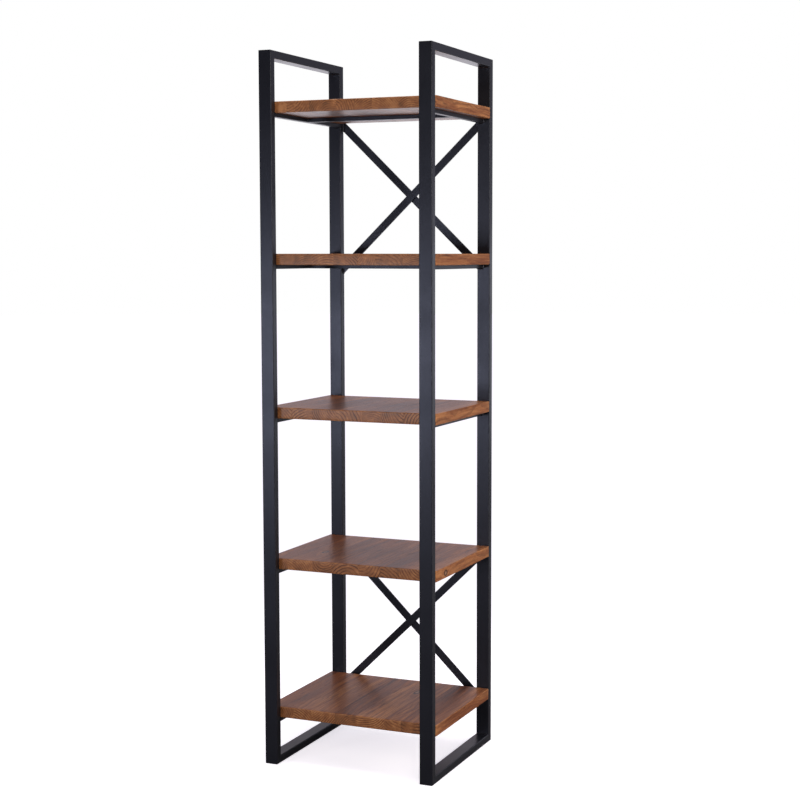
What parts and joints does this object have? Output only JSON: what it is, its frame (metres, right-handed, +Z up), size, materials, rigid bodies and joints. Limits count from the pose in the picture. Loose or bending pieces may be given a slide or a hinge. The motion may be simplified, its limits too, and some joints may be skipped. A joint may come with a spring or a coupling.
{
  "type": "bookcase",
  "caption": "Tall open bookcase: two black steel tube side frames, solid wood boards fixed on steel rails, and crossed flat-bar braces at the back.",
  "frame": {"origin": "on the floor, under the middle of the bookcase", "axes": "+Z up; the front faces -Y; +X is the right-hand side seen from the front"},
  "size_m": [0.468, 0.405, 1.8],
  "materials": {
    "frame_tube": "satin powder coat",
    "rail_tube": "satin powder coat",
    "brace_bar": "satin powder coat",
    "board": "satin varnish",
    "screws": "black zinc"
  },
  "bodies": {
    "root": {"left_front_upright": "frame_tube", "left_back_upright": "frame_tube", "left_top_rail": "frame_tube", "left_bottom_rail": "frame_tube", "right_front_upright": "frame_tube", "right_back_upright": "frame_tube", "right_top_rail": "frame_tube", "right_bottom_rail": "frame_tube", "left_shelf_rail_1": "rail_tube", "right_shelf_rail_1": "rail_tube", "cross_rail_1": "rail_tube", "shelf_board_1": "board", "shelf_screws_1": "screws", "left_shelf_rail_2": "rail_tube", "right_shelf_rail_2": "rail_tube", "cross_rail_2": "rail_tube", "shelf_board_2": "board", "shelf_screws_2": "screws", "left_shelf_rail_3": "rail_tube", "right_shelf_rail_3": "rail_tube", "cross_rail_3": "rail_tube", "shelf_board_3": "board", "shelf_screws_3": "screws", "left_shelf_rail_4": "rail_tube", "right_shelf_rail_4": "rail_tube", "cross_rail_4": "rail_tube", "shelf_board_4": "board", "shelf_screws_4": "screws", "left_shelf_rail_5": "rail_tube", "right_shelf_rail_5": "rail_tube", "cross_rail_5": "rail_tube", "shelf_board_5": "board", "shelf_screws_5": "screws", "upper_brace_rising": "brace_bar", "upper_brace_falling": "brace_bar", "lower_brace_rising": "brace_bar", "lower_brace_falling": "brace_bar"}
  },
  "joints": []
}
